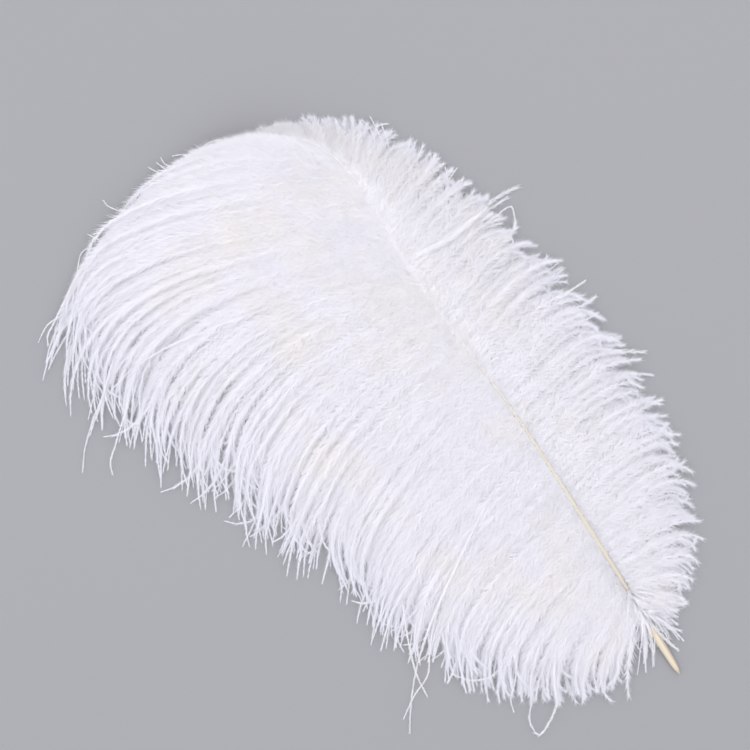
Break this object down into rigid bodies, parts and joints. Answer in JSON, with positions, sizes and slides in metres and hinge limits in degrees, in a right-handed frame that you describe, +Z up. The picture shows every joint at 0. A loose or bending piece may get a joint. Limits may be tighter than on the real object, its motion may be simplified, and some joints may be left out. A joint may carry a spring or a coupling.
{
  "type": "ostrich plume",
  "caption": "Long white ostrich plume lying on its barbs: a bare quill, an arched shaft that curls over at the tip, one broad drooping vane and one narrow vane.",
  "frame": {"origin": "The middle of the plume's bounding box in plan, at the surface that it lies on.", "axes": "+X runs from the quill's end to the shaft's tip, +Y is the side of the broad vane, and +Z is up from the surface."},
  "size_m": [0.6962, 0.489, 0.0538],
  "materials": {
    "white_barb": "matte",
    "cream_shaft": "satin"
  },
  "bodies": {
    "root": {"feather": "white_barb"}
  },
  "joints": []
}
